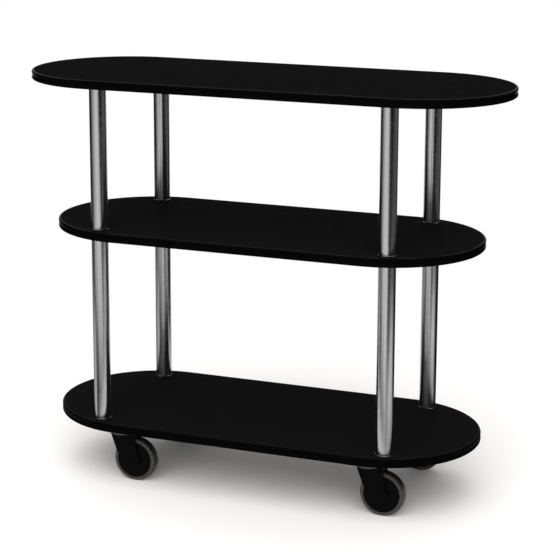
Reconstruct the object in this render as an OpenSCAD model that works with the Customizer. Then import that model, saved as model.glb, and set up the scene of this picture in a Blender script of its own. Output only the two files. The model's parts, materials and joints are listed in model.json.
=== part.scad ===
// Service cart: three oval laminated shelves on chrome tube legs and four swivel casters.
// Own frame in millimetres: +X along the cart, +Y towards its back, +Z up.
// The origin lies on the floor, under the middle of the cart.
// All four casters trail towards +X, as the cart stands after it was last pushed.

/* [Shelves] */
// Length of the top shelf over its edge moulding
top_length = 1118; // [1060:2:1300]
// Width of the top shelf over its edge moulding
top_width = 427; // [424:1:520]
// Length of the middle and bottom shelves over their edge moulding
lower_length = 996; // [970:2:1040]
// Width of the middle and bottom shelves over their edge moulding
lower_width = 427; // [424:1:520]
// Clear height between the bottom shelf and the middle shelf
lower_bay = 421; // [200:1:600]
// Clear height between the middle shelf and the top shelf
upper_bay = 319; // [200:1:600]
// Thickness of the particle-board core
core_t = 18; // [17:0.5:25]
// Thickness of the laminate on the upper face
laminate_t = 0.5; // [0.4:0.1:1.5]
// Thickness of the backer sheet on the lower face
backer_t = 0.4; // [0.3:0.1:1.2]

/* [Edge moulding] */
// How far the moulding stands out from the edge of the board
face_t = 5.2; // [4.6:0.1:7]
// How far the moulding rises past each face of the shelf
proud = 0.25; // [0:0.05:0.8]
// Radius of the two beads that run along the moulding
bead_r = 3.6; // [3:0.1:4.2]
// Depth of the hollow between the beads
hollow_d = 1.8; // [1:0.1:2.4]
// Half of the distance over which the hollow spreads
hollow_half = 4.6; // [3.5:0.1:5]
// Reach of the tongue into the board
tongue_l = 9; // [6:0.5:12]
// Thickness of the tongue between its barbs
tongue_t = 1.4; // [1:0.1:2]
// Height of each barb above the tongue
barb_h = 0.7; // [0.3:0.1:1]
// Number of barbs along the tongue
barb_count = 3; // [1:1:4]
// Clearance around the tongue in its kerf
kerf_fit = 0.1; // [0.05:0.05:0.3]
// Gap at the butt joint in the middle of the back
seam_gap = 0.4; // [0.2:0.1:1]

/* [Legs] */
// Distance of each leg from the middle, along the cart
leg_x = 334.4; // [325:0.1:345]
// Distance of each leg from the middle, across the cart
leg_y = 169.6; // [160:0.1:175]
// Outer diameter of the leg tubes
leg_d = 38.1; // [32:0.1:42]
// Wall of the leg tubes
leg_wall = 1.2; // [0.8:0.1:2]
// Thickness of the ring at each end of a tube
ring_t = 2; // [1:0.1:3]
// How far the ring stands out past the tube
ring_lip = 0.4; // [0.2:0.1:1.5]
// Radius of the hole in the ring
ring_hole_r = 11; // [10:0.5:13]
// Height of the plug pressed into each tube end
plug_h = 14; // [10:0.5:20]
// Wall of the plug's skirt
plug_skirt = 2; // [1.5:0.1:3]
// Thickness of the plug's web
plug_web = 4; // [3:0.5:6]
// Radius of the plug's threaded boss
plug_boss_r = 8; // [6.5:0.5:9]
// Clearance of the plug in the tube
plug_fit = 0.03; // [0.02:0.01:0.08]

/* [Leg fasteners] */
// Diameter of the studs and bolts that hold the legs
stud_d = 8; // [6:0.5:8.5]
// Radial clearance of a stud in its threaded bore
thread_fit = 0.05; // [0.03:0.01:0.1]
// Radial clearance of a stud in the shelf
hole_fit = 0.4; // [0.3:0.1:0.8]
// Length of the threaded insert in the top shelf
insert_l = 13; // [8:0.5:15]
// Outer radius of the threaded insert
insert_r = 6; // [5.5:0.5:7]
// Thickness of the insert's flange
insert_flange_t = 1.2; // [0.8:0.1:1.8]
// Radius of the insert's flange
insert_flange_r = 9; // [8:0.5:9.5]
// Width across the flats of the foot bolt's head
bolt_af = 13; // [10:1:14]
// Height of the foot bolt's head
bolt_head_h = 5.3; // [4:0.1:7]
// Outer radius of the washer under the foot bolt
washer_r = 9; // [7.5:0.5:9.5]
// Thickness of the washer under the foot bolt
washer_t = 1.6; // [1:0.1:2]

/* [Caster places] */
// Distance of each swivel axis from the middle, along the cart
caster_x = 294.4; // [280:0.1:296]
// Distance of each swivel axis from the middle, across the cart
caster_y = 147.8; // [140:0.1:150]
// Distance from the swivel axis back to the axle
trail = 32.7; // [30:0.1:36]

/* [Caster plate] */
// Size of the plate along the cart
plate_x = 57; // [54:1:58]
// Size of the plate across the cart
plate_y = 78; // [74:1:90]
// Thickness of the plate
plate_t = 2.5; // [2:0.1:3]
// Corner radius of the plate
plate_corner = 7; // [3:1:10]
// Height of the dish pressed into the plate
dish_h = 13.4; // [11:0.1:16]
// Radius of the dish at the plate
dish_r = 24; // [23:0.1:25]
// Radius of the dish at its floor
dish_floor_r = 20.2; // [19:0.1:20.6]
// Half spacing of the screws along the cart
screw_x = 20.5; // [20:0.1:21.5]
// Half spacing of the screws across the cart
screw_y = 30; // [29:0.1:32]
// Length of each screw slot beyond a round hole
slot_run = 3.5; // [1:0.1:5]
// Diameter of the plate's screws
screw_d = 4.2; // [3.5:0.1:4.5]
// Reach of the screws into the board
screw_reach = 12; // [8:0.5:14]
// Radius of the screw's head
screw_head_r = 4.8; // [4.2:0.1:5]
// Height of the screw's head
screw_head_h = 3.4; // [2.5:0.1:4]
// Clearance of the screw in the slot
slot_fit = 0.4; // [0.3:0.1:0.8]

/* [Swivel bearing] */
// Height of the gap between the plate's race and the fork
race_gap = 3.6; // [3:0.1:4.2]
// Radius of the circle on which the balls run
race_r = 15; // [14.5:0.1:15.5]
// Radius of each ball
ball_r = 3; // [2.6:0.1:3.2]
// Number of balls
ball_count = 14; // [8:1:14]
// Clearance of the balls in the fork's groove
ball_seat = 0.05; // [0.03:0.01:0.1]
// Clearance of the balls in the plate's groove
ball_play = 0.3; // [0.2:0.05:0.4]
// Radius of the kingpin
kingpin_r = 5; // [4:0.5:5.5]
// Radial clearance of the kingpin in the fork
kingpin_fit = 0.06; // [0.03:0.01:0.1]
// Radius of the kingpin's heads
kingpin_head_r = 8; // [7.5:0.5:9]
// Height of the kingpin's heads
kingpin_head_h = 2.8; // [2:0.1:3.2]
// Gap between the kingpin's lower head and the fork
kingpin_gap = 0.3; // [0.2:0.05:0.4]

/* [Fork] */
// Thickness of the crown over the wheel
crown_t = 6; // [5:0.1:8]
// Reach of the crown in front of the swivel axis
crown_front = 23; // [22:0.1:24]
// Reach of the crown behind the swivel axis
crown_back = 35; // [34:0.1:37]
// Drop from the crown's top to the bend in an arm's front edge
bend_drop = 41; // [36:1:44]
// Distance of that bend in front of the swivel axis
bend_front = 8; // [6:0.5:9]
// Gap between the arms
fork_gap = 30; // [29:0.1:32]
// Thickness of an arm
arm_t = 3.5; // [3:0.1:5]
// Radius of an arm's rounded end
arm_end_r = 15; // [13:0.1:16]
// Width of the raised border round an arm
border_w = 3; // [2:0.1:4]
// Depth of the panel inside that border
panel_d = 0.8; // [0.4:0.1:1]
// Thickness of the web at the front of the crown
web_t = 3; // [2.5:0.1:4]
// Radius of the round table that carries the balls
table_r = 24.3; // [24:0.1:25]
// Height of the table's rim
table_h = 3; // [2:0.1:4]
// Height of the flare under the table
flare_h = 9; // [6:0.5:12]
// Height of the dust lip on the table
lip_h = 1.8; // [1:0.1:2.2]
// Thickness of the dust lip
lip_t = 1.8; // [1.5:0.1:2.2]
// Height of the boss round the kingpin
kingpin_boss_h = 8.4; // [8:0.1:9]
// Radius of the boss round the kingpin
kingpin_boss_r = 9.5; // [9:0.1:11]
// Thickness of the ribs under the crown
rib_t = 2.4; // [2:0.1:3]

/* [Wheel] */
// Diameter of the wheel over its tread
wheel_d = 100; // [96:0.1:108]
// Width of the tread
tread_w = 25; // [22:0.1:26]
// Thickness of the tread
tread_t = 8.7; // [7:0.1:11]
// Radius of the tread's shoulders
shoulder_r = 6; // [1:0.1:6.5]
// Clearance between the wheel and the fork's crown
tread_gap = 4.2; // [2.5:0.1:6]
// Width of the key that locks the tread on the rim
key_w = 6; // [4:0.5:8]
// Depth of that key
key_d = 1.2; // [0.8:0.1:1.5]
// Clearance between the tread and the rim
bond_fit = 0.03; // [0.02:0.01:0.05]
// Width of the hub's rim
rim_w = 22; // [20:0.5:24]
// Thickness of the hub's rim
rim_t = 3.3; // [3:0.1:4]
// Thickness of the hub's web
hub_web = 4; // [3:0.5:6]
// Radius of the hub's boss
hub_boss_r = 10; // [9:0.5:12]
// Gap between the hub's boss and each arm
hub_side_gap = 1.2; // [0.8:0.1:1.5]
// Number of ribs on each side of the hub
spoke_count = 8; // [4:1:12]
// Thickness of the hub's ribs
spoke_t = 2.4; // [1.5:0.1:3]
// Height of the hub's ribs above the web
spoke_h = 5; // [3:0.5:5]
// Thickness of the disc covers
cover_t = 1.6; // [1.2:0.1:2]
// Height of the ring on the cover's back that snaps into the rim
cover_ring_h = 2.6; // [1:0.1:3]
// Thickness of that ring
cover_ring_t = 2; // [1:0.1:2.5]
// Clearance of the covers in the rim and round the boss
cover_fit = 0.2; // [0.1:0.05:0.3]
// Width of the flat rim on a cover's face, outside its shallow dish
cover_rim = 5; // [3:0.5:8]
// Depth of the cover's shallow dish
cover_dish = 0.5; // [0.2:0.1:0.7]

/* [Axle] */
// Radius of the axle
axle_r = 4; // [3:0.5:4.5]
// Clearance of the axle in the fork and in its sleeve
axle_fit = 0.05; // [0.03:0.01:0.1]
// Wall of the sleeve between the arms
sleeve_wall = 1.9; // [1.5:0.1:2.5]
// Radial clearance of the hub on the sleeve
hub_fit = 0.06; // [0.03:0.01:0.1]
// Radius of the axle's heads
axle_head_r = 7; // [6:0.1:8]
// Height of the axle's heads
axle_head_h = 1.6; // [1.2:0.1:2]
// Depth to which the heads sink into the arms
head_sink = 1.3; // [0.8:0.1:1.6]

/* [Hidden] */
$fn = 96;
// Clearance that keeps a seated end off the bottom of its bore
seat_gap = 0.4;
// Overlap of a cutting shape past the face that it opens
cut = 1;

// Each corner of the cart: its name and its side along X and along Y
CORNERS = [["front_left", -1, -1], ["front_right", 1, -1], ["back_left", -1, 1], ["back_right", 1, 1]];
SHELVES = ["top", "middle", "bottom"];
SHELF_LAYERS = ["core", "laminate", "backer", "moulding"];
CASTER_PIECES = ["plate", "kingpin", "balls", "fork", "axle", "hub", "tread", "covers"];
LEG_HARDWARE = ["leg_rings", "leg_plugs", "leg_studs", "top_inserts", "foot_bolts", "caster_screws"];

// Heights from the floor up
wheel_r = wheel_d / 2;
crown_z = wheel_d + tread_gap + crown_t;
race_z = crown_z + race_gap;
bottom_z = race_z + dish_h;
shelf_t = backer_t + core_t + laminate_t;
middle_z = bottom_z + shelf_t + lower_bay;
top_z = middle_z + shelf_t + upper_bay;

// Fits that several pieces share
stud_r = stud_d / 2;
stud_hole_r = stud_r + hole_fit;
ring_r = leg_d / 2 + ring_lip;
kerf_w = tongue_t + 2 * barb_h + 2 * kerf_fit;
kerf_d = tongue_l + kerf_fit;
moulding_h = shelf_t + 2 * proud;
screw_r = screw_d / 2;
fork_w = fork_gap + 2 * arm_t;
kingpin_boss_z = crown_z - kingpin_boss_h;
rim_r = wheel_r - tread_t - bond_fit;
rim_inner_r = rim_r - rim_t;
sleeve_r = axle_r + axle_fit + sleeve_wall;
hub_half = fork_gap / 2 - hub_side_gap;

function shelf_length(s) = s == "top" ? top_length : lower_length;
function shelf_width(s) = s == "top" ? top_width : lower_width;
function shelf_z(s) = s == "top" ? top_z : s == "middle" ? middle_z : bottom_z;

// Stadium outline of a shelf, drawn in by inset from the moulding's outer face
module oval(s, inset) {
    l = shelf_length(s) - 2 * inset;
    w = shelf_width(s) - 2 * inset;
    square([l - w, w], center = true);
    for (side = [-1, 1])
        translate([side * (l - w) / 2, 0]) circle(d = w);
}

// Puts its children at each leg
module at_legs() {
    for (c = CORNERS)
        translate([c[1] * leg_x, c[2] * leg_y, 0]) children();
}

// Puts its children at the swivel axis of one caster
module at_caster(c) {
    translate([c[1] * caster_x, c[2] * caster_y, 0]) children();
}

// Puts its children at each screw of each caster plate
module at_caster_screws() {
    for (c = CORNERS)
        at_caster(c)
            for (x = [-screw_x, screw_x])
                for (y = [-screw_y, screw_y])
                    translate([x, y, 0]) children();
}

// Holes for the leg studs through one layer of a shelf
module stud_holes(z, h, r = stud_hole_r) {
    at_legs() translate([0, 0, z - cut]) cylinder(r = r, h = h + 2 * cut);
}

// Bores for the inserts, open at the underside of the top shelf
module insert_bores(depth, r) {
    at_legs() translate([0, 0, top_z - cut]) cylinder(r = r, h = depth + cut);
}

// Board of one shelf, with the kerf for the moulding's tongue round its edge
module shelf_core(s) {
    z = shelf_z(s) + backer_t;
    color("#8a7156")
    difference() {
        translate([0, 0, z]) linear_extrude(core_t) oval(s, face_t);
        translate([0, 0, z + (core_t - kerf_w) / 2 + (laminate_t - backer_t) / 2])
            linear_extrude(kerf_w)
            difference() {
                oval(s, face_t - cut);
                oval(s, face_t + kerf_d);
            }
        if (s == "top")
            insert_bores(backer_t + insert_l + seat_gap, insert_r + thread_fit);
        else
            stud_holes(z, core_t);
        if (s == "bottom")
            at_caster_screws()
                translate([0, 0, z - cut])
                cylinder(r = screw_r + thread_fit, h = cut + screw_reach + seat_gap);
    }
}

// Laminate on the upper face, pierced for the studs of the legs that stand on it
module shelf_laminate(s) {
    z = shelf_z(s) + backer_t + core_t;
    color("#151515")
    difference() {
        translate([0, 0, z]) linear_extrude(laminate_t) oval(s, face_t);
        if (s != "top") stud_holes(z, laminate_t);
    }
}

// Backer sheet on the lower face, pierced for every fastener that passes it
module shelf_backer(s) {
    z = shelf_z(s);
    color("#1b1b1b")
    difference() {
        translate([0, 0, z]) linear_extrude(backer_t) oval(s, face_t);
        if (s == "top") insert_bores(backer_t, insert_r + thread_fit);
        else stud_holes(z, backer_t);
        if (s == "bottom")
            at_caster_screws()
                translate([0, 0, z - cut]) cylinder(r = screw_r + hole_fit, h = backer_t + 2 * cut);
    }
}

// Cross-section of the edge moulding: x runs out from the board, y is up from its middle.
// Two beads stand on a flange, with a round hollow between them and a barbed tongue behind.
module moulding_section() {
    bead_y = moulding_h / 2 - bead_r;
    hollow_r = (hollow_half * hollow_half + hollow_d * hollow_d) / (2 * hollow_d);
    barb_pitch = tongue_l / barb_count;
    difference() {
        union() {
            translate([0, -moulding_h / 2]) square([face_t - bead_r, moulding_h]);
            translate([0, -bead_y]) square([face_t, 2 * bead_y]);
            for (side = [-1, 1])
                translate([face_t - bead_r, side * bead_y]) circle(r = bead_r);
        }
        translate([face_t - hollow_d + hollow_r, 0]) circle(r = hollow_r);
        translate([-2 * bead_r, -moulding_h]) square([2 * bead_r, 2 * moulding_h]);
    }
    translate([-tongue_l, -tongue_t / 2]) square([tongue_l + cut, tongue_t]);
    for (i = [0:barb_count - 1])
        for (side = [-1, 1])
            polygon([
                [-barb_pitch * i, side * tongue_t / 4],
                [-barb_pitch * i - barb_pitch * 0.2, side * (tongue_t / 2 + barb_h)],
                [-barb_pitch * (i + 1), side * tongue_t / 4]]);
}

// Moulding wrapped round one shelf and cut at its butt joint in the back
module shelf_moulding(s) {
    l = shelf_length(s) - 2 * face_t;
    w = shelf_width(s) - 2 * face_t;
    color("#0c0c0c")
    translate([0, 0, shelf_z(s) + shelf_t / 2])
    difference() {
        union() {
            for (side = [-1, 1]) {
                translate([side * (l - w) / 2, 0, 0])
                    rotate([0, 0, -side * 90])
                    rotate_extrude(angle = 180) translate([w / 2, 0]) moulding_section();
                rotate([0, 0, side * 90]) translate([w / 2, 0, 0])
                    rotate([90, 0, 0])
                    linear_extrude(l - w, center = true) moulding_section();
            }
        }
        translate([-seam_gap / 2, w / 2 - 2 * tongue_l, -moulding_h])
            cube([seam_gap, 2 * tongue_l + 2 * face_t, 2 * moulding_h]);
    }
}

// One leg tube between two shelves, standing between its end rings
module leg_tube(c, floor_z, bay) {
    color("#c9cbcd")
    translate([c[1] * leg_x, c[2] * leg_y, floor_z + ring_t])
    difference() {
        cylinder(d = leg_d, h = bay - 2 * ring_t);
        translate([0, 0, -cut]) cylinder(r = leg_d / 2 - leg_wall, h = bay);
    }
}

module lower_leg(c) {
    leg_tube(c, bottom_z + shelf_t, lower_bay);
}

module upper_leg(c) {
    leg_tube(c, middle_z + shelf_t, upper_bay);
}

// Underside of each ring, from the bottom of the cart up
function ring_heights() = [
    bottom_z + shelf_t,
    middle_z - ring_t,
    middle_z + shelf_t,
    top_z - ring_t];

// Ring with softened edges between a tube end and a shelf
module leg_ring() {
    soft = ring_t / 5;
    difference() {
        union() {
            cylinder(r1 = ring_r - soft, r2 = ring_r, h = soft);
            translate([0, 0, soft]) cylinder(r = ring_r, h = ring_t - 2 * soft);
            translate([0, 0, ring_t - soft]) cylinder(r1 = ring_r, r2 = ring_r - soft, h = soft);
        }
        translate([0, 0, -cut]) cylinder(r = ring_hole_r, h = ring_t + 2 * cut);
    }
}

module leg_rings() {
    color("#c9cbcd")
    at_legs() for (z = ring_heights()) translate([0, 0, z]) leg_ring();
}

// Plug with a skirt, a web at its mouth, a threaded boss and four ribs
module leg_plug() {
    skirt_r = leg_d / 2 - leg_wall - plug_fit;
    difference() {
        union() {
            cylinder(r = skirt_r, h = plug_web);
            difference() {
                cylinder(r = skirt_r, h = plug_h);
                translate([0, 0, plug_web]) cylinder(r = skirt_r - plug_skirt, h = plug_h);
            }
            cylinder(r = plug_boss_r, h = plug_h);
            for (a = [0, 90])
                rotate([0, 0, a])
                translate([-skirt_r + plug_skirt / 2, -rib_t / 2, 0])
                cube([2 * skirt_r - plug_skirt, rib_t, plug_h - plug_skirt]);
        }
        translate([0, 0, -cut]) cylinder(r = stud_r + thread_fit, h = plug_h + 2 * cut);
    }
}

module leg_plugs() {
    color("#7d8083")
    at_legs() {
        for (z = [bottom_z + shelf_t + ring_t, middle_z + shelf_t + ring_t])
            translate([0, 0, z]) leg_plug();
        for (z = [middle_z - ring_t, top_z - ring_t])
            translate([0, 0, z]) mirror([0, 0, 1]) leg_plug();
    }
}

// Round bar with chamfered ends, for studs, bolts and pins
module chamfered_bar(r, h) {
    chamfer = r / 5;
    cylinder(r1 = r - chamfer, r2 = r, h = chamfer);
    translate([0, 0, chamfer]) cylinder(r = r, h = h - 2 * chamfer);
    translate([0, 0, h - chamfer]) cylinder(r1 = r, r2 = r - chamfer, h = chamfer);
}

// Studs that join the tiers through the middle shelf and hold the top shelf
module leg_studs() {
    low = ring_t + plug_h - seat_gap;
    color("#a7a9ab")
    at_legs() {
        translate([0, 0, middle_z - low]) chamfered_bar(stud_r, shelf_t + 2 * low);
        translate([0, 0, top_z - low]) chamfered_bar(stud_r, low + backer_t + insert_l - seat_gap);
    }
}

// Threaded inserts in the top shelf, each with a flange inside the leg's ring
module top_inserts() {
    thread_pitch = 2;
    ridge = 0.6;
    flange_r = min(insert_flange_r, ring_hole_r - hole_fit);
    color("#b8a04a")
    at_legs() translate([0, 0, top_z])
    difference() {
        union() {
            translate([0, 0, -insert_flange_t]) cylinder(r = flange_r, h = insert_flange_t);
            cylinder(r = insert_r - ridge, h = backer_t + insert_l);
            for (z = [backer_t + thread_pitch / 2:thread_pitch:insert_l - thread_pitch])
                translate([0, 0, z]) cylinder(r = insert_r, h = thread_pitch / 2);
        }
        translate([0, 0, -2 * insert_flange_t])
            cylinder(r = stud_r + thread_fit, h = insert_l + 3 * insert_flange_t + backer_t);
    }
}

// Hexagon bolts and washers that hold the lower legs from under the bottom shelf
module foot_bolts() {
    reach = washer_t + shelf_t + ring_t + plug_h - seat_gap;
    head_r = bolt_af / sqrt(3);
    color("#a7a9ab")
    at_legs() translate([0, 0, bottom_z - washer_t]) {
        difference() {
            cylinder(r = washer_r, h = washer_t);
            translate([0, 0, -cut]) cylinder(r = stud_r + thread_fit, h = washer_t + 2 * cut);
        }
        chamfered_bar(stud_r, reach);
        translate([0, 0, -bolt_head_h]) cylinder(r = head_r, h = bolt_head_h, $fn = 6);
    }
}

// Hexagon-headed screws that hold the caster plates, with flanged heads and points
module caster_screws() {
    shank = plate_t + backer_t + screw_reach;
    flange_t = screw_head_h / 3;
    color("#a7a9ab")
    at_caster_screws() translate([0, 0, bottom_z - plate_t]) {
        translate([0, 0, -flange_t]) cylinder(r = screw_head_r, h = flange_t);
        translate([0, 0, -screw_head_h])
            cylinder(r = screw_head_r * 0.85, h = screw_head_h - flange_t, $fn = 6);
        cylinder(r = screw_r, h = shank - screw_d);
        translate([0, 0, shank - screw_d]) cylinder(r1 = screw_r, r2 = screw_r / 6, h = screw_d);
    }
}

// Pressed caster plate: slotted rectangle with a dish that carries the upper ball race
module caster_plate(c) {
    inner_x = plate_x - 2 * plate_corner;
    inner_y = plate_y - 2 * plate_corner;
    slot_r = screw_r + slot_fit;
    floor_z = race_z;
    color("#b9bcbe")
    at_caster(c)
    difference() {
        union() {
            translate([0, 0, bottom_z - plate_t]) linear_extrude(plate_t)
                difference() {
                    union() {
                        square([inner_x, plate_y], center = true);
                        square([plate_x, inner_y], center = true);
                        for (x = [-inner_x / 2, inner_x / 2])
                            for (y = [-inner_y / 2, inner_y / 2])
                                translate([x, y]) circle(r = plate_corner);
                    }
                    circle(r = dish_r - plate_t / 2);
                    for (x = [-screw_x, screw_x])
                        for (y = [-screw_y, screw_y]) {
                            translate([x, y]) square([2 * slot_r, slot_run], center = true);
                            for (end = [-slot_run / 2, slot_run / 2])
                                translate([x, y + end]) circle(r = slot_r);
                        }
                }
            rotate_extrude() polygon([
                [kingpin_r + kingpin_fit, floor_z],
                [dish_floor_r, floor_z],
                [dish_r, bottom_z - plate_t],
                [dish_r, bottom_z],
                [dish_r - plate_t, bottom_z],
                [dish_floor_r - plate_t, floor_z + plate_t],
                [kingpin_r + kingpin_fit, floor_z + plate_t]]);
        }
        rotate_extrude() translate([race_r, race_z - race_gap / 2]) circle(r = ball_r + ball_play);
    }
}

// Kingpin riveted over the dish, with its lower head under the fork
module caster_kingpin(c) {
    low = kingpin_boss_z - kingpin_gap;
    high = race_z + plate_t;
    color("#a7a9ab")
    at_caster(c) {
        translate([0, 0, low - kingpin_head_h])
            cylinder(r1 = kingpin_head_r - kingpin_head_h / 2, r2 = kingpin_head_r, h = kingpin_head_h);
        translate([0, 0, low]) cylinder(r = kingpin_r, h = high - low);
        translate([0, 0, high])
            cylinder(r1 = kingpin_head_r, r2 = kingpin_head_r - kingpin_head_h / 2, h = kingpin_head_h);
    }
}

// Ring of balls between the plate and the fork
module caster_balls(c) {
    color("#c4c6c8")
    at_caster(c) translate([0, 0, race_z - race_gap / 2])
        for (i = [0:ball_count - 1])
            rotate([0, 0, i * 360 / ball_count]) translate([race_r, 0, 0]) sphere(r = ball_r);
}

// Extrudes an outline drawn in the plane of the wheel, evenly to both sides of that plane
module across(w) {
    rotate([90, 0, 0]) linear_extrude(w, center = true) children();
}

// Outline of a fork arm seen along the axle, drawn in by inset
module arm_outline(inset) {
    chin = arm_end_r * 0.94;
    polygon([
        [-crown_front + inset * 1.2, crown_z - inset],
        [crown_back - inset, crown_z - inset],
        [trail + arm_end_r * 0.55 - inset, wheel_r + arm_end_r],
        [trail + arm_end_r * 0.5 - inset, wheel_r],
        [trail - chin + inset, wheel_r - arm_end_r * 0.35],
        [-bend_front + inset * 1.2, crown_z - bend_drop]]);
    translate([trail, wheel_r]) circle(r = arm_end_r - inset);
}

// Space between the arms: room for the wheel and the hollow inside the crown's nose
module fork_hollow() {
    translate([trail, wheel_r]) circle(r = wheel_r + tread_gap);
    intersection() {
        arm_outline(web_t);
        translate([-2 * crown_front, 0]) square([2 * crown_front + crown_back, crown_z - crown_t]);
    }
}

// Moulded fork: two bordered arms, a flared table for the balls and a ribbed hollow crown
module caster_fork(c) {
    color("#111111")
    at_caster(c)
    difference() {
        union() {
            difference() {
                union() {
                    across(fork_w) arm_outline(0);
                    translate([0, 0, crown_z - table_h]) cylinder(r = table_r, h = table_h);
                    translate([0, 0, crown_z - table_h - flare_h])
                        cylinder(r1 = fork_w / 2, r2 = table_r, h = flare_h);
                }
                across(fork_gap) fork_hollow();
                for (side = [-1, 1])
                    translate([0, side * fork_w / 2, 0]) across(2 * panel_d)
                        difference() {
                            intersection() {
                                arm_outline(border_w);
                                square([4 * crown_back, 2 * (crown_z - table_h - flare_h)], center = true);
                            }
                            translate([trail, wheel_r]) circle(r = axle_head_r + border_w);
                        }
            }
            translate([0, 0, kingpin_boss_z]) cylinder(r = kingpin_boss_r, h = kingpin_boss_h);
            intersection() {
                across(fork_gap) arm_outline(web_t / 2);
                union() {
                    translate([-crown_front, -rib_t / 2, kingpin_boss_z])
                        cube([crown_front, rib_t, kingpin_boss_h - crown_t / 2]);
                    translate([-rib_t / 2, -fork_gap / 2, kingpin_boss_z])
                        cube([rib_t, fork_gap, kingpin_boss_h - crown_t / 2]);
                }
            }
            translate([0, 0, crown_z - lip_h]) difference() {
                cylinder(r = table_r, h = 2 * lip_h);
                cylinder(r = table_r - lip_t, h = 3 * lip_h);
            }
        }
        translate([0, 0, kingpin_boss_z - cut])
            cylinder(r = kingpin_r + kingpin_fit, h = kingpin_boss_h + 2 * cut);
        rotate_extrude() translate([race_r, race_z - race_gap / 2]) circle(r = ball_r + ball_seat);
        translate([trail, 0, wheel_r]) rotate([90, 0, 0]) {
            cylinder(r = axle_r + axle_fit, h = 2 * fork_w, center = true);
            for (side = [-1, 1])
                translate([0, 0, side * fork_w / 2])
                cylinder(r = axle_head_r + axle_fit, h = 2 * head_sink, center = true);
        }
    }
}

// Puts its children, drawn round Z, on the axle of one caster
module on_axle(c) {
    at_caster(c) translate([trail, 0, wheel_r]) rotate([90, 0, 0]) children();
}

// Riveted axle with low heads sunk into the arms, and the sleeve that spaces the arms
module caster_axle(c) {
    seat = fork_w / 2 - head_sink;
    sleeve_half = fork_gap / 2 - axle_fit;
    color("#1c1c1c")
    on_axle(c) {
        cylinder(r = axle_r, h = 2 * seat, center = true);
        for (side = [0, 1])
            mirror([0, 0, side]) translate([0, 0, seat])
            cylinder(r1 = axle_head_r, r2 = axle_head_r - axle_head_h / 2, h = axle_head_h);
        difference() {
            cylinder(r = sleeve_r, h = 2 * sleeve_half, center = true);
            cylinder(r = axle_r + axle_fit, h = 3 * sleeve_half, center = true);
        }
    }
}

// Hub with a boss, a web, ribs on both sides and a rim grooved for the tread's key
module caster_hub(c) {
    bore_r = sleeve_r + hub_fit;
    color("#1a1a1a")
    on_axle(c)
    difference() {
        union() {
            rotate_extrude() {
                translate([bore_r, -hub_half]) square([hub_boss_r - bore_r, 2 * hub_half]);
                translate([bore_r, -hub_web / 2]) square([rim_r - key_d - bore_r, hub_web]);
                difference() {
                    translate([rim_inner_r, -rim_w / 2]) square([rim_t, rim_w]);
                    translate([rim_r - key_d, -key_w / 2]) square([2 * key_d, key_w]);
                }
            }
            for (i = [0:spoke_count - 1])
                rotate([0, 0, i * 360 / spoke_count])
                translate([hub_boss_r - cut, -spoke_t / 2, -hub_web / 2 - spoke_h])
                cube([rim_inner_r - hub_boss_r + 1.5 * cut, spoke_t, hub_web + 2 * spoke_h]);
        }
        cylinder(r = bore_r, h = 3 * hub_half, center = true);
    }
}

// Rubber tread with rounded shoulders and the key that locks it on the rim
module caster_tread(c) {
    inner_r = rim_r + bond_fit;
    flat_half = tread_w / 2 - shoulder_r;
    color("#5b5753")
    on_axle(c)
    rotate_extrude() {
        intersection() {
            translate([inner_r, -tread_w / 2]) square([tread_t, tread_w]);
            union() {
                translate([inner_r, -tread_w / 2]) square([wheel_r - shoulder_r - inner_r, tread_w]);
                translate([inner_r, -flat_half]) square([wheel_r - inner_r, 2 * flat_half]);
                for (side = [-1, 1])
                    translate([wheel_r - shoulder_r, side * flat_half]) circle(r = shoulder_r);
            }
        }
        translate([inner_r - key_d + bond_fit, -key_w / 2 + bond_fit])
            square([key_d + bond_fit, key_w - 2 * bond_fit]);
    }
}

// Disc covers over both sides of the hub, each with a shallow dish and a ring that snaps in
module caster_covers(c) {
    hole_r = hub_boss_r + cover_fit;
    outer_r = rim_r - cover_fit;
    ring_outer_r = rim_inner_r - cover_fit;
    color("#101010")
    on_axle(c)
    for (side = [0, 1])
        mirror([0, 0, side]) translate([0, 0, rim_w / 2])
        rotate_extrude() {
            polygon([
                [hole_r, 0],
                [outer_r, 0],
                [outer_r, cover_t / 2],
                [outer_r - cover_t / 2, cover_t],
                [outer_r - cover_rim, cover_t],
                [outer_r - cover_rim - cover_dish, cover_t - cover_dish],
                [hole_r + 2 * cover_dish, cover_t - cover_dish],
                [hole_r, cover_t]]);
            translate([ring_outer_r - cover_ring_t, -cover_ring_h])
                square([cover_ring_t, cover_ring_h + cover_t / 2]);
        }
}

for (s = SHELVES) {
    shelf_core(s);
    shelf_laminate(s);
    shelf_backer(s);
    shelf_moulding(s);
}
for (c = CORNERS) {
    upper_leg(c);
    lower_leg(c);
    caster_plate(c);
    caster_kingpin(c);
    caster_balls(c);
    caster_fork(c);
    caster_axle(c);
    caster_hub(c);
    caster_tread(c);
    caster_covers(c);
}
leg_rings();
leg_plugs();
leg_studs();
top_inserts();
foot_bolts();
caster_screws();
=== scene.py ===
import json
import math

import bmesh
import bpy
from mathutils import Matrix, Vector


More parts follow.
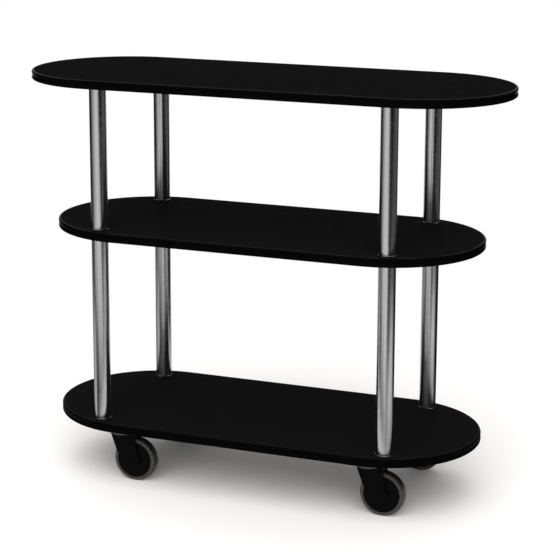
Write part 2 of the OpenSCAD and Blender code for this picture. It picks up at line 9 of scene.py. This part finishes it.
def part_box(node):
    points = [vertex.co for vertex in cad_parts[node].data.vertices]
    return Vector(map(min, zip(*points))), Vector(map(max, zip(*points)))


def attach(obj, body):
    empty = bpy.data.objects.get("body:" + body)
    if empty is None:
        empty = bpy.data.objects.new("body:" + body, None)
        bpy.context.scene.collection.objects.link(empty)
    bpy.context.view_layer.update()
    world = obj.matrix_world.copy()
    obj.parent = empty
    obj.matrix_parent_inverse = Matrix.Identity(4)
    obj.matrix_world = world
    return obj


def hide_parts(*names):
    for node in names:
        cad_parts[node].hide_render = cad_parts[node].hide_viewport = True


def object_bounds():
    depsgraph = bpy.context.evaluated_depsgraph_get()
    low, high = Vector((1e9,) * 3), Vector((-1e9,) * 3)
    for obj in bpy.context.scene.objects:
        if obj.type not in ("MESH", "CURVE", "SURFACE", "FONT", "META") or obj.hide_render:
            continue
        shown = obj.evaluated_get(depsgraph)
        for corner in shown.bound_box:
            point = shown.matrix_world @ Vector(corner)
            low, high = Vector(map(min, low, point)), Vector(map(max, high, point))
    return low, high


# ---------------------------------------------------------------- the fixed frame
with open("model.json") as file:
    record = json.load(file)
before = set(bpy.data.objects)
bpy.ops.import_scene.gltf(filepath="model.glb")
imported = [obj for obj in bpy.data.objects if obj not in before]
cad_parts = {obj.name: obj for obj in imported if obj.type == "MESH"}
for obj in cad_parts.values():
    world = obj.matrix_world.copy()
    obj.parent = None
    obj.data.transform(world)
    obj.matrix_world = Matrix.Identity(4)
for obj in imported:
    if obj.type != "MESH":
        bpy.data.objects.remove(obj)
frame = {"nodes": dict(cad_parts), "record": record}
nodes = frame["nodes"]
cad_low, cad_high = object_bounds()
scene = bpy.context.scene

CORNERS = ("front_left", "front_right", "back_left", "back_right")


# ---------------------------------------------------------------- the camera
# The photograph's camera, fitted to the shelf outlines, the legs and the wheels, for an image
# 560 pixels wide and 560 high. Angles are in radians and lengths in metres, unless a name says so.
IMAGE_PX = 560.0
YAW = 0.3644
PITCH = 0.2083
ROLL = -0.0028
FOCAL_PX = 1772.70
CENTRE_PX = (267.30, 195.98)
DISTANCE = 3.97348
AIM = Vector((0.0, 0.0, cad_high.z - 0.27068))
SENSOR_MM = 36.0

forward = Vector((
    -math.sin(YAW) * math.cos(PITCH),
    math.cos(YAW) * math.cos(PITCH),
    -math.sin(PITCH),
))
side = Vector((math.cos(YAW), math.sin(YAW), 0.0))
down = forward.cross(side)
image_right = side * math.cos(ROLL) + down * math.sin(ROLL)
image_down = down * math.cos(ROLL) - side * math.sin(ROLL)
# Seen from above, the direction of the line from the cart back to the camera.
TO_CAMERA = math.atan2(-forward.y, -forward.x)

camera_data = bpy.data.cameras.new("camera")
camera_data.sensor_width = SENSOR_MM
camera_data.lens = FOCAL_PX * SENSOR_MM / IMAGE_PX
camera_data.shift_x = (IMAGE_PX / 2 - CENTRE_PX[0]) / IMAGE_PX
camera_data.shift_y = (CENTRE_PX[1] - IMAGE_PX / 2) / IMAGE_PX
camera_data.clip_start = 0.05
camera_data.clip_end = 100.0
camera = bpy.data.objects.new("camera", camera_data)
scene.collection.objects.link(camera)
pose = Matrix((image_right, -image_down, -forward)).transposed().to_4x4()
pose.translation = AIM - forward * DISTANCE
camera.matrix_world = pose
scene.camera = camera
scene.view_settings.view_transform = "Standard"


# ---------------------------------------------------------------- helpers for node trees and meshes
# Most of a noise texture's values lie between these two.
NOISE_LOW = 0.3
NOISE_HIGH = 0.7
# Edges that fold more than this are real ones, in degrees.
SHARP_ANGLE = 32.0


def maths(tree, operation, *values):
    """A maths node on numbers or other nodes' outputs."""
    node = tree.nodes.new("ShaderNodeMath")
    node.operation = operation
    for socket, value in zip(node.inputs, values):
        if isinstance(value, float):
            socket.default_value = value
        else:
            tree.links.new(value, socket)
    return node.outputs[0]


class Tree:
    """A material with its shader, and short calls for the nodes that the finishes share."""

    def __init__(self, name):
        self.material = bpy.data.materials.new(name)
        self.material.use_nodes = True
        self.tree = self.material.node_tree
        self.shader = self.tree.nodes["Principled BSDF"]
        self.surface = self.tree.nodes["Material Output"].inputs["Surface"]

    def add(self, kind, **settings):
        node = self.tree.nodes.new(kind)
        for key, value in settings.items():
            setattr(node, key, value)
        return node

    def link(self, output, socket):
        self.tree.links.new(output, socket)

    def place(self, scale):
        """Object coordinates, stretched by scale."""
        coordinates = self.add("ShaderNodeTexCoord")
        mapping = self.add("ShaderNodeMapping")
        mapping.inputs["Scale"].default_value = scale
        self.link(coordinates.outputs["Object"], mapping.inputs["Vector"])
        return mapping.outputs["Vector"]

    def noise(self, scale, detail=3.0, rough=0.55, stretch=(1.0, 1.0, 1.0)):
        node = self.add("ShaderNodeTexNoise")
        node.inputs["Scale"].default_value = scale
        node.inputs["Detail"].default_value = detail
        node.inputs["Roughness"].default_value = rough
        self.link(self.place(stretch), node.inputs["Vector"])
        return node.outputs["Fac"]

    def cells(self, scale, stretch=(1.0, 1.0, 1.0)):
        node = self.add("ShaderNodeTexVoronoi")
        node.inputs["Scale"].default_value = scale
        self.link(self.place(stretch), node.inputs["Vector"])
        return node.outputs["Distance"]

    def ramp(self, value, stops):
        """Colours by value, from (position, colour or grey) stops."""
        node = self.add("ShaderNodeValToRGB")
        ramp = node.color_ramp
        while len(ramp.elements) < len(stops):
            ramp.elements.new(0.5)
        for element, (position, colour) in zip(ramp.elements, stops):
            if not isinstance(colour, tuple):
                colour = (colour,) * 3
            element.position = position
            element.color = (*colour, 1.0)
        self.link(value, node.inputs["Fac"])
        return node.outputs["Color"]

    def clouds(self, low, high, scale, detail=3.0):
        """Two colours that run into each other in soft clouds."""
        return self.ramp(self.noise(scale, detail), [(NOISE_LOW, low), (NOISE_HIGH, high)])

    def span(self, value, low, high):
        """A number from low to high, as value goes through a noise's usual range."""
        node = self.add("ShaderNodeMapRange")
        node.inputs["From Min"].default_value = NOISE_LOW
        node.inputs["From Max"].default_value = NOISE_HIGH
        node.inputs["To Min"].default_value = low
        node.inputs["To Max"].default_value = high
        self.link(value, node.inputs["Value"])
        return node.outputs["Result"]

    def bump(self, height, depth, strength, below=None):
        node = self.add("ShaderNodeBump")
        node.inputs["Strength"].default_value = strength
        node.inputs["Distance"].default_value = depth
        self.link(height, node.inputs["Height"])
        if below is not None:
            self.link(below, node.inputs["Normal"])
        return node.outputs["Normal"]

    def rounded(self, radius):
        """Normals that round off sharp edges."""
        node = self.add("ShaderNodeBevel", samples=4)
        node.inputs["Radius"].default_value = radius
        return node.outputs["Normal"]

    def set(self, **values):
        names = {
            "metallic": "Metallic",
            "anisotropic": "Anisotropic",
            "turn": "Anisotropic Rotation",
            "specular": "Specular IOR Level",
        }
        for key, value in values.items():
            self.shader.inputs[names[key]].default_value = value

    def wire(self, colour, rough, normal):
        self.link(colour, self.shader.inputs["Base Color"])
        self.link(rough, self.shader.inputs["Roughness"])
        self.link(normal, self.shader.inputs["Normal"])
        return self.material


def full_turn(steps):
    return [2 * math.pi * i / steps for i in range(steps)]


def polar(radius, angle, height=0.0):
    return (radius * math.cos(angle), radius * math.sin(angle), height)


def between(first, second, count):
    """Faces between two closed rings of points in one list, each ring count points long."""
    faces = []
    for k in range(count):
        m = (k + 1) % count
        faces.append((first * count + k, second * count + k, second * count + m, first * count + m))
    return faces


def mesh_object(name, points, faces):
    mesh = bpy.data.meshes.new(name)
    mesh.from_pydata(points, [], faces)
    made = bpy.data.objects.new(name, mesh)
    scene.collection.objects.link(made)
    return made


def smooth_object(name, points, faces):
    """A closed piece with outward faces, smooth apart from its real edges."""
    made = mesh_object(name, points, faces)
    built = bmesh.new()
    built.from_mesh(made.data)
    bmesh.ops.recalc_face_normals(built, faces=built.faces)
    built.to_mesh(made.data)
    built.free()
    made.data.shade_smooth()
    made.data.set_sharp_from_angle(angle=math.radians(SHARP_ANGLE))
    return made


# ---------------------------------------------------------------- finishes
def laminate(name, low, high):
    """High-pressure laminate with a fine pebbled face, almost black."""
    t = Tree(name)
    t.set(specular=0.001)
    tone = t.clouds(low, high, 9.0, 4.0)
    rough = t.span(t.noise(60.0), 0.60, 0.72)
    return t.wire(tone, rough, t.bump(t.cells(900.0), 0.00012, 0.35))


def backer():
    """Brown-black phenolic sheet under each board."""
    t = Tree("black_backer")
    t.set(specular=0.2)
    tone = t.clouds((0.010, 0.0095, 0.009), (0.018, 0.016, 0.015), 25.0, 5.0)
    rough = t.span(t.noise(90.0), 0.62, 0.8)
    return t.wire(tone, rough, t.bump(t.noise(700.0), 0.0001, 0.4))


def board():
    """Particle board: pressed flakes, seen only inside the bores."""
    t = Tree("particle_board")
    t.set(specular=0.2)
    flakes = t.cells(420.0, (1.0, 1.0, 3.0))
    tone = t.ramp(flakes, [
        (0.0, (0.10, 0.06, 0.03)),
        (0.45, (0.30, 0.20, 0.11)),
        (1.0, (0.46, 0.34, 0.21)),
    ])
    return t.wire(tone, t.span(flakes, 0.75, 0.95), t.bump(flakes, 0.0006, 0.6))


def vinyl():
    """Extruded black vinyl edge, satin, with faint draw lines along its run."""
    t = Tree("black_vinyl")
    t.set(specular=0.006)
    tone = t.clouds(0.0012, 0.0018, 14.0, 4.0)
    draw = t.noise(1.0, 2.0, 0.6, (6.0, 6.0, 2400.0))
    rough = t.span(t.noise(40.0), 0.20, 0.26)
    return t.wire(tone, rough, t.bump(draw, 0.00006, 0.25, t.rounded(0.0015)))


def chrome(name, tone_low, tone_high, rough_low, rough_high):
    """Bright plating over a tube ground round, which draws reflections out along its length."""
    t = Tree(name)
    t.set(metallic=1.0, anisotropic=1.0, turn=0.25)
    round_axis = t.add("ShaderNodeTangent", direction_type="RADIAL", axis="Z")
    t.link(round_axis.outputs["Tangent"], t.shader.inputs["Tangent"])
    tone = t.clouds(tone_low, tone_high, 7.0)
    lines = t.noise(1.0, 3.0, 0.6, (900.0, 900.0, 5.0))
    rough = t.span(t.noise(30.0), rough_low, rough_high)
    return t.wire(tone, rough, t.bump(lines, 0.00001, 0.12))


def zinc(name, tone_low, tone_high, rough_low=0.34, rough_high=0.48):
    """Metal with soft crystalline patches, such as zinc plate."""
    t = Tree(name)
    t.set(metallic=1.0)
    tone = t.ramp(t.cells(260.0), [(0.1, tone_low), (0.8, tone_high)])
    rough = t.span(t.noise(110.0), rough_low, rough_high)
    return t.wire(tone, rough, t.bump(t.noise(900.0), 0.00004, 0.3))


def moulded(name, tone_low, tone_high, rough_low, rough_high, specular, grain=1400.0):
    """Injection-moulded plastic: fine spark texture and softened edges."""
    t = Tree(name)
    t.set(specular=specular)
    tone = t.clouds(tone_low, tone_high, 35.0)
    rough = t.span(t.noise(160.0), rough_low, rough_high)
    normal = t.bump(t.noise(grain, 2.0), 0.00006, 0.35, t.rounded(0.0004))
    return t.wire(tone, rough, normal)


def rubber():
    """Grey-brown moulded rubber with painted shade: pale on its sides, dark on the running face."""
    t = Tree("grey_rubber")
    t.set(specular=0.5)
    faces = t.add("ShaderNodeTexCoord")
    across = t.add("ShaderNodeSeparateXYZ")
    t.link(faces.outputs["Normal"], across.inputs["Vector"])
    sideways = maths(t.tree, "ABSOLUTE", across.outputs["Y"])
    # Painted shade: the colour follows which way a face points, darker on the running face than on
    # the sides.
    run = t.ramp(sideways, [(0.30, (0.010, 0.0088, 0.0072)), (0.75, (0.036, 0.033, 0.029))])
    tone = t.add("ShaderNodeVectorMath", operation="MULTIPLY")
    t.link(run, tone.inputs[0])
    t.link(t.clouds(0.80, 1.0, 70.0, 5.0), tone.inputs[1])
    rough = t.span(t.noise(240.0), 0.24, 0.34)
    normal = t.bump(t.noise(1100.0, 3.0), 0.0001, 0.25, t.rounded(0.0006))
    return t.wire(tone.outputs["Vector"], rough, normal)


PLASTIC_TONES = (0.0014, 0.0020)
PLASTIC_GLOSS = 0.035
FINISHES = {
    "particle_board": board(),
    "black_laminate": laminate("black_laminate", 0.0038, 0.0044),
    "black_backer": backer(),
    "black_vinyl": vinyl(),
    "chrome_tube": chrome(
        "chrome_tube", (0.64, 0.64, 0.642), (0.68, 0.68, 0.682), 0.14, 0.155),
    "chrome_ring": chrome(
        "chrome_ring", (0.34, 0.325, 0.31), (0.42, 0.40, 0.385), 0.10, 0.14),
    "plug_steel": zinc("plug_steel", (0.16, 0.165, 0.17), (0.24, 0.245, 0.25)),
    "zinc_fastener": zinc("zinc_fastener", (0.32, 0.33, 0.34), (0.42, 0.43, 0.44)),
    "insert_brass": zinc("insert_brass", (0.42, 0.30, 0.09), (0.55, 0.41, 0.14), 0.3, 0.42),
    "zinc_plate": zinc("zinc_plate", (0.58, 0.585, 0.59), (0.68, 0.685, 0.69)),
    "ball_steel": chrome("ball_steel", (0.50, 0.51, 0.52), (0.55, 0.56, 0.57), 0.08, 0.12),
    "fork_plastic": moulded("fork_plastic", *PLASTIC_TONES, 0.40, 0.52, PLASTIC_GLOSS),
    "black_axle": moulded("black_axle", *PLASTIC_TONES, 0.34, 0.42, PLASTIC_GLOSS, 2000.0),
    "hub_plastic": moulded(
        "hub_plastic", (0.0045, 0.0045, 0.0047), (0.0070, 0.0070, 0.0072), 0.4, 0.52, 0.12),
    "grey_rubber": rubber(),
    "cover_plastic": moulded("cover_plastic", *PLASTIC_TONES, 0.38, 0.48, PLASTIC_GLOSS),
}

for part in frame["record"]["subparts"]:
    for entry in nodes[part["node"]].material_slots:
        entry.material = FINISHES[part["material_slot"]]

# The two shelves in the shade of the top get a little paler copy of the laminate: painted light
# that lifts their shade, so that all three shelves look equally dark.
shade_lifted_laminate = laminate("black_laminate_shade_lifted", 0.0074, 0.0082)
for shelf in ("middle", "bottom"):
    for entry in nodes[shelf + "_laminate"].material_slots:
        entry.material = shade_lifted_laminate


# ---------------------------------------------------------------- edge mouldings
# Finer than the solids' mesh, with the same section. In millimetres:
FACE = 5.2  # from the board's edge out to the beads' faces
BEAD = 3.6  # radius of a bead
HOLLOW_DEPTH = 1.8
HOLLOW_HALF = 4.6
TONGUE = 9.0  # reach of the tongue into the board
TONGUE_HALF = 0.7
BARBS = 3
BARB = 1.4  # half the height over a barb's tip
BARB_PITCH = 3.0
BARB_START, BARB_TIP, BARB_END = 0.2, 0.6, 2.2  # in from the barb's root
SEAM_HALF = 0.2  # half of the gap where the moulding's ends meet

MM = 0.001  # in metres
HOLLOW_STEPS = 8
BEAD_STEPS = 10
END_STEPS = 96


def arc(centre, radius, start, end, count):
    """Points on an arc, angles in degrees, both ends taken in."""
    turns = [math.radians(start + (end - start) * i / count) for i in range(count + 1)]
    return [(centre[0] + radius * math.cos(a), centre[1] + radius * math.sin(a)) for a in turns]


def moulding_section(height):
    """Cross-section in millimetres, x out from the board: two beads, a hollow between them and
    a barbed tongue. Its upper half runs from the hollow to the tongue's end, and is mirrored."""
    bead_y = height / 2 - BEAD
    hollow_r = (HOLLOW_HALF ** 2 + HOLLOW_DEPTH ** 2) / (2 * HOLLOW_DEPTH)
    spread = math.degrees(math.asin(HOLLOW_HALF / hollow_r))
    hollow_x = FACE - HOLLOW_DEPTH + hollow_r
    upper = arc((hollow_x, 0.0), hollow_r, 180.0, 180.0 - spread, HOLLOW_STEPS)
    upper += arc((FACE - BEAD, bead_y), BEAD, 0.0, 90.0, BEAD_STEPS)
    upper += [(0.0, height / 2), (0.0, TONGUE_HALF)]
    for i in range(BARBS):
        root = -BARB_PITCH * i
        upper += [
            (root - BARB_START, TONGUE_HALF),
            (root - BARB_TIP, BARB),
            (root - BARB_END, TONGUE_HALF),
        ]
    upper.append((-TONGUE, TONGUE_HALF))
    return upper + [(x, -y) for x, y in reversed(upper[1:])]


def fine_moulding(shelf):
    """The moulding swept round the shelf, from one side of its seam in the middle of the back
    to the other."""
    node = shelf + "_moulding"
    low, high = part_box(node)
    radius, straight, middle = high.y, high.x - high.y, (low.z + high.z) / 2
    section = moulding_section((high.z - low.z) / MM)
    seam = SEAM_HALF * MM
    stations = [(Vector((seam, 0.0, 0.0)), 90.0)]
    for end_x, first in ((straight, 90.0), (-straight, -90.0)):
        centre = Vector((end_x, 0.0, 0.0))
        stations += [(centre, first - 180.0 * i / END_STEPS) for i in range(END_STEPS + 1)]
    stations.append((Vector((-seam, 0.0, 0.0)), -270.0))
    points = []
    for place, turn in stations:
        out = Vector(polar(1.0, math.radians(turn)))
        for x, y in section:
            reach = out * (radius + (x - FACE) * MM)
            points.append(place + reach + Vector((0.0, 0.0, middle + y * MM)))
    count = len(section)
    faces = [tuple(range(count)), tuple(reversed(range(len(points) - count, len(points))))]
    for i in range(len(stations) - 1):
        faces += between(i, i + 1, count)
    piece = smooth_object(shelf + "_edge", points, faces)
    piece.data.materials.append(FINISHES["black_vinyl"])
    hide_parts(node)
    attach(piece, "cart")


for shelf in ("top", "middle", "bottom"):
    fine_moulding(shelf)


# ---------------------------------------------------------------- dust caps over the ball races
CAP_INNER = 0.02055
CAP_OUTER = 0.03000
CAP_SHEET = 0.0006
CAP_ABOVE = 0.0010  # the flange's top, above the lowest point of the caster's plate
CAP_BELOW = 0.00325  # the lip, below that point
CAP_STEPS = 96
# The cap is a real kind of part, but its pale grey is painted light: it stands for the bright line
# seen under the shelf's edge, above the fork.
CAP_RUBBER = moulded(
    "cap_rubber", (0.072, 0.070, 0.068), (0.098, 0.095, 0.092), 0.42, 0.55, 0.3)


def lathe(name, place, profile):
    """A closed ring turned about the vertical line through place, from (radius, height) points."""
    points = []
    for a in full_turn(CAP_STEPS):
        points += [(place[0] + r * math.cos(a), place[1] + r * math.sin(a), z) for r, z in profile]
    faces = []
    for i in range(CAP_STEPS):
        faces += between(i, (i + 1) % CAP_STEPS, len(profile))
    return smooth_object(name, points, faces)


def dust_cap(corner):
    """A thin moulded cap: a flange against the plate's dish, and a skirt with a rolled lip over
    the fork's crown."""
    low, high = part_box("caster_kingpin_" + corner)
    axis = ((low.x + high.x) / 2, (low.y + high.y) / 2)
    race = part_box("caster_plate_" + corner)[0].z
    inner, outer, sheet = CAP_INNER, CAP_OUTER, CAP_SHEET
    flange, lip = race + CAP_ABOVE, race - CAP_BELOW
    profile = [
        (inner, flange - sheet),
        (outer - 0.0014, flange - sheet),
        (outer - 0.0008, flange - 0.0009),
        (outer - sheet, flange - 0.0015),
        (outer - sheet, lip + 0.0005),
        (outer - 0.00045, lip + 0.0001),
        (outer - 0.0001, lip),
        (outer + 0.00025, lip + 0.0002),
        (outer + 0.00035, lip + 0.0005),
        (outer + 0.0002, lip + 0.0008),
        (outer, lip + 0.0010),
        (outer, flange - 0.0012),
        (outer - 0.0003, flange - 0.0004),
        (outer - 0.0012, flange),
        (inner, flange),
    ]
    cap = lathe("dust_cap_" + corner, axis, profile)
    cap.data.materials.append(CAP_RUBBER)
    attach(cap, "cart")


for corner in CORNERS:
    dust_cap(corner)


# ---------------------------------------------------------------- the world, the studio and its painted reflections
# Angles round the cart are in degrees: 0 towards the camera, plus to the camera's right.

# The world's soft lights: (angle round the cart, height in degrees, strength).
LOBES = [(0.0, 90.0, 0.70), (180.0, 50.0, 0.80), (-45.0, 50.0, 0.85), (0.0, 20.0, 2.85)]
LOBE_POWER = 4.0  # a lobe's strength falls with this power of the cosine from its middle

LAMP_PLACE = (0.7, -1.0, 2.7)
LAMP_AIM = (0.0, 0.0, 0.2)
LAMP_SIDE = 2.0
LAMP_WATTS = 2.4

FLOOR_R = 6.0
FLOOR_STEPS = 64
FLOOR_TONE = 0.88
FLOOR_SEEN = (1.18, 1.155, 1.145)  # its colour to the camera, so that it's white where it's lit
FADE = (0.55, 1.05)  # the floor turns into plain white between these radii

# Painted reflections, in tones of 0 to 255 as the chrome shows them: a glowing ring round the
# cart that only metal and gloss show. It is pale from the camera round to its left, dark just to
# the camera's right and dim further right. It is dark towards the back on both sides, and pale
# straight behind the cart.
STUDIO_R = 2.9
WALL_TOP = 2.4
REFLECTED_WALL = [
    (-180, 190), (-155, 190), (-138, 5), (-120, 5), (-105, 5), (-85, 90), (-60, 150),
    (-40, 175), (-25, 185), (-2, 160), (8, 40), (25, 5), (40, 5), (60, 55), (80, 70),
    (95, 90), (110, 45), (138, 5), (155, 190),
]
# The apron is a second painted reflection, a glowing ring lying on the floor inside the wall. It
# is pale, apart from a dark stretch at the right towards the back.
APRON_R = 0.70
APRON_HEIGHT = 0.003
REFLECTED_APRON = [
    (-180, 180), (-155, 180), (-130, 90), (-100, 160), (-75, 170), (-50, 170), (-25, 145),
    (0, 205), (15, 160), (30, 200), (50, 205), (70, 205), (85, 105), (98, 5), (138, 5),
    (155, 180),
]
# Painted reflections on the apron, glowing patches: (inner and outer radius), (first and last
# angle), tone.
PATCH_HEIGHT = 0.005
REFLECTION_PATCHES = {
    "left_near": ((APRON_R, 1.20), (-80, -45), 5),
    "left_mid": ((1.20, 1.80), (-80, -45), 65),
    "left_far": ((1.80, STUDIO_R), (-112, -72), 5),
    "front_near": ((APRON_R, 1.05), (-45, 10), 5),
    "front_far": ((1.60, STUDIO_R), (-45, 12), 185),
    "right_near": ((APRON_R, 1.10), (12, 42), 115),
    "right_side": ((APRON_R, 1.10), (44, 80), 130),
    "right_mid": ((1.40, STUDIO_R), (14, 44), 50),
    "right_far": ((1.85, STUDIO_R), (44, 95), 20),
}
CHROME = 0.66  # the share of light that the chrome gives back
RING_STEPS = 96
PATCH_STEPS = 24


def world_light():
    """White for what the camera, metal and glass see. The rest is lit by the lobes."""
    world = bpy.data.worlds.new("studio")
    scene.world = world
    world.use_nodes = True
    tree = world.node_tree
    path = tree.nodes.new("ShaderNodeLightPath")
    seen = maths(tree, "MAXIMUM", path.outputs["Is Camera Ray"], path.outputs["Is Glossy Ray"])
    seen = maths(tree, "MAXIMUM", seen, path.outputs["Is Transmission Ray"])
    sky = tree.nodes.new("ShaderNodeTexCoord")
    total = None
    for angle, height, power in LOBES:
        rise = math.radians(height)
        turn = TO_CAMERA + math.radians(angle)
        facing = tree.nodes.new("ShaderNodeVectorMath")
        facing.operation = "DOT_PRODUCT"
        facing.inputs[1].default_value = polar(math.cos(rise), turn, math.sin(rise))
        tree.links.new(sky.outputs["Generated"], facing.inputs[0])
        lobe = maths(tree, "MAXIMUM", facing.outputs["Value"], 0.0)
        lobe = maths(tree, "MULTIPLY", maths(tree, "POWER", lobe, LOBE_POWER), power)
        total = lobe if total is None else maths(tree, "ADD", total, lobe)
    strength = tree.nodes.new("ShaderNodeMapRange")
    strength.inputs["To Max"].default_value = 1.0
    tree.links.new(total, strength.inputs["To Min"])
    tree.links.new(seen, strength.inputs["Value"])
    background = tree.nodes["Background"]
    tree.links.new(strength.outputs["Result"], background.inputs["Strength"])
    background.inputs["Color"].default_value = (1.0, 1.0, 1.0, 1.0)


def floor_material():
    """White floor that keeps the cart's shadow and turns into plain white further out."""
    t = Tree("studio_floor")
    matt = t.add("ShaderNodeBsdfDiffuse")
    path = t.add("ShaderNodeLightPath")
    colour = t.ramp(path.outputs["Is Camera Ray"], [(0.0, FLOOR_TONE), (1.0, FLOOR_SEEN)])
    t.link(colour, matt.inputs["Color"])
    coordinates = t.add("ShaderNodeTexCoord")
    reach = t.add("ShaderNodeVectorMath", operation="LENGTH")
    t.link(coordinates.outputs["Object"], reach.inputs[0])
    fade = t.add("ShaderNodeMapRange", interpolation_type="SMOOTHSTEP")
    fade.inputs["From Min"].default_value, fade.inputs["From Max"].default_value = FADE
    t.link(reach.outputs["Value"], fade.inputs["Value"])
    seen = maths(t.tree, "MAXIMUM", path.outputs["Is Camera Ray"], path.outputs["Is Glossy Ray"])
    white = t.add("ShaderNodeEmission")
    white.inputs["Strength"].default_value = 1.0
    mix = t.add("ShaderNodeMixShader")
    t.link(maths(t.tree, "MULTIPLY", fade.outputs["Result"], seen), mix.inputs["Fac"])
    t.link(matt.outputs["BSDF"], mix.inputs[1])
    t.link(white.outputs["Emission"], mix.inputs[2])
    t.link(mix.outputs["Shader"], t.surface)
    return t.material


def panel_light(tone):
    """Linear light of a panel that the chrome shows in a tone of 0 to 255."""
    c = tone / 255.0
    linear = c / 12.92 if c <= 0.04045 else ((c + 0.055) / 1.055) ** 2.4
    return linear / CHROME


def reflection_panel(name, points, faces):
    """A painted reflection: a glowing surface, no lamp, that only metal and gloss show. Returns it,
    its material and its colour's socket.
    """
    panel = mesh_object(name, points, faces)
    t = Tree(name)
    glow = t.add("ShaderNodeEmission")
    t.link(glow.outputs["Emission"], t.surface)
    panel.data.materials.append(t.material)
    panel.visible_camera = False
    panel.visible_diffuse = False
    panel.visible_shadow = False
    panel.visible_transmission = False
    return panel, t, glow.inputs["Color"]


def reflection_ring(name, start, end, tones):
    """A painted reflection: a glowing ring round the cart between two (radius, height) places, from
    (angle, tone) stops.
    """
    points = [polar(radius, a, height) for a in full_turn(RING_STEPS)
              for radius, height in (start, end)]
    faces = []
    for i in range(RING_STEPS):
        j = (i + 1) % RING_STEPS
        faces.append((2 * i, 2 * j, 2 * j + 1, 2 * i + 1))
    ring, t, colour = reflection_panel(name, points, faces)
    ring.rotation_euler = (0.0, 0.0, TO_CAMERA)
    place = t.add("ShaderNodeTexCoord")
    angle = t.add("ShaderNodeTexGradient", gradient_type="RADIAL")
    t.link(place.outputs["Object"], angle.inputs["Vector"])
    stops = [(0.5 + degrees / 360.0, panel_light(tone)) for degrees, tone in tones]
    t.link(t.ramp(angle.outputs["Fac"], stops), colour)


def reflection_patch(name, radii, angles, tone):
    """A painted reflection: a glowing patch on the apron between two radii and two angles."""
    first, last = angles
    points = []
    for i in range(PATCH_STEPS + 1):
        a = TO_CAMERA + math.radians(first + (last - first) * i / PATCH_STEPS)
        points += [polar(radius, a, PATCH_HEIGHT) for radius in radii]
    faces = [(2 * i, 2 * i + 2, 2 * i + 3, 2 * i + 1) for i in range(PATCH_STEPS)]
    colour = reflection_panel(name, points, faces)[2]
    colour.default_value = (panel_light(tone),) * 3 + (1.0,)


floor_rim = [polar(FLOOR_R, a) for a in full_turn(FLOOR_STEPS)]
floor = mesh_object("studio_floor", floor_rim, [tuple(range(FLOOR_STEPS))])
floor.data.materials.append(floor_material())

# Painted reflections: the ring, the apron and the patches glow for metal and gloss alone.
reflection_ring("reflected_wall", (STUDIO_R, 0.0), (STUDIO_R, WALL_TOP), REFLECTED_WALL)
reflection_ring("reflected_apron", (APRON_R, APRON_HEIGHT), (STUDIO_R, APRON_HEIGHT), REFLECTED_APRON)
for place, patch in REFLECTION_PATCHES.items():
    reflection_patch("studio_" + place, *patch)
world_light()

lamp_data = bpy.data.lights.new("front_panel", "AREA")
lamp_data.shape = "SQUARE"
lamp_data.size = LAMP_SIDE
lamp_data.energy = LAMP_WATTS
lamp = bpy.data.objects.new("front_panel", lamp_data)
scene.collection.objects.link(lamp)
lamp.location = LAMP_PLACE
lamp.rotation_euler = (Vector(LAMP_AIM) - Vector(LAMP_PLACE)).to_track_quat("-Z", "Y").to_euler()
